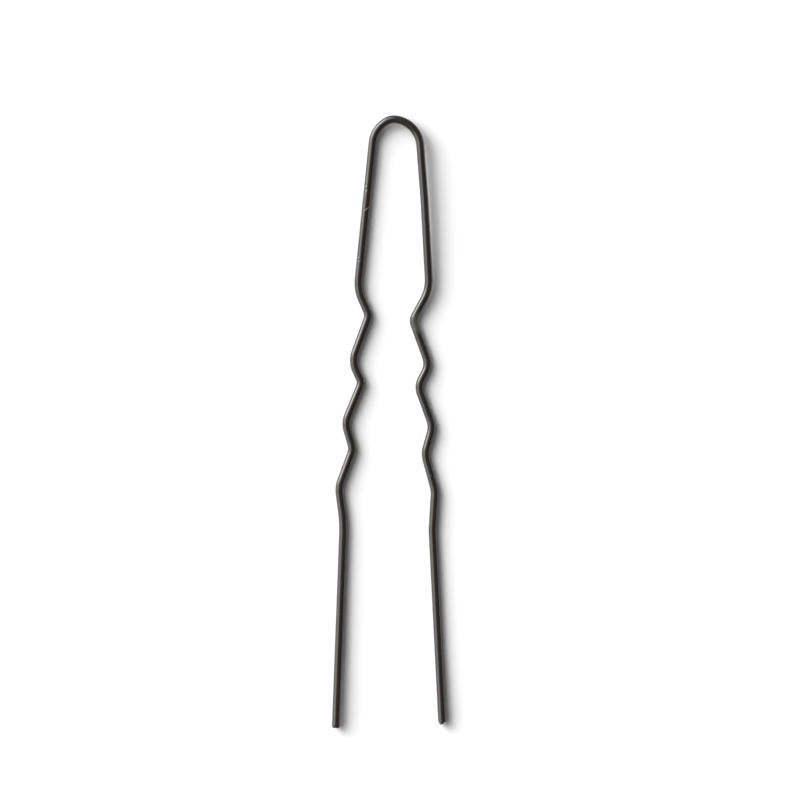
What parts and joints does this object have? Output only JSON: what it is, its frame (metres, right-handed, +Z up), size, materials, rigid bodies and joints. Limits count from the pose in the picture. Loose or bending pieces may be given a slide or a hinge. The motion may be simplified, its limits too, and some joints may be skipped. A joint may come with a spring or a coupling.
{
  "type": "crimped u-shaped hair pin",
  "caption": "U-shaped hair pin bent from round steel wire, with narrow bow, straight shanks, crimped waves and plain cut points, in dark lacquer.",
  "frame": {"origin": "middle of the footprint on the surface that the pin lies on, at rest", "axes": "+Z up from that surface, +Y from the points towards the bow along the pin, +X to the right leg"},
  "size_m": [0.0142, 0.076, 0.0016],
  "materials": {
    "lacquer": "semi-gloss dark brown-black baked lacquer over steel wire"
  },
  "bodies": {
    "bow": {"bow": "lacquer"},
    "left_shank": {"left_shank": "lacquer"},
    "right_shank": {"right_shank": "lacquer"},
    "left_waves": {"left_waves": "lacquer"},
    "right_waves": {"right_waves": "lacquer"},
    "left_point": {"left_point": "lacquer"},
    "right_point": {"right_point": "lacquer"}
  },
  "joints": [
    {"name": "left_spread", "type": "hinge", "parent": "bow", "child": "left_shank", "pos_m": [-0.00218, 0.03314, 0.0005], "axis": [0, 0, -1], "range_deg": [-2, 4], "stiffness_Nm_per_rad": 0.666},
    {"name": "right_spread", "type": "hinge", "parent": "bow", "child": "right_shank", "pos_m": [0.00396, 0.03279, 0.0011], "axis": [0, 0, 1], "range_deg": [-2, 4], "stiffness_Nm_per_rad": 0.666},
    {"name": "left_crimp_flex", "type": "hinge", "parent": "left_shank", "child": "left_waves", "pos_m": [-0.00306, 0.01447, 0.0005], "axis": [0, 0, -1], "range_deg": [-2.4, 4.8], "stiffness_Nm_per_rad": 0.405},
    {"name": "right_crimp_flex", "type": "hinge", "parent": "right_shank", "child": "right_waves", "pos_m": [0.00378, 0.01414, 0.0005], "axis": [0, 0, 1], "range_deg": [-2.4, 4.8], "stiffness_Nm_per_rad": 0.405},
    {"name": "left_point_flex", "type": "hinge", "parent": "left_waves", "child": "left_point", "pos_m": [-0.00577, -0.01558, 0.0005], "axis": [0, 0, -1], "range_deg": [-1.4, 2.8], "stiffness_Nm_per_rad": 0.259},
    {"name": "right_point_flex", "type": "hinge", "parent": "right_waves", "child": "right_point", "pos_m": [0.00549, -0.01524, 0.0005], "axis": [0, 0, 1], "range_deg": [-1.4, 2.8], "stiffness_Nm_per_rad": 0.259}
  ]
}
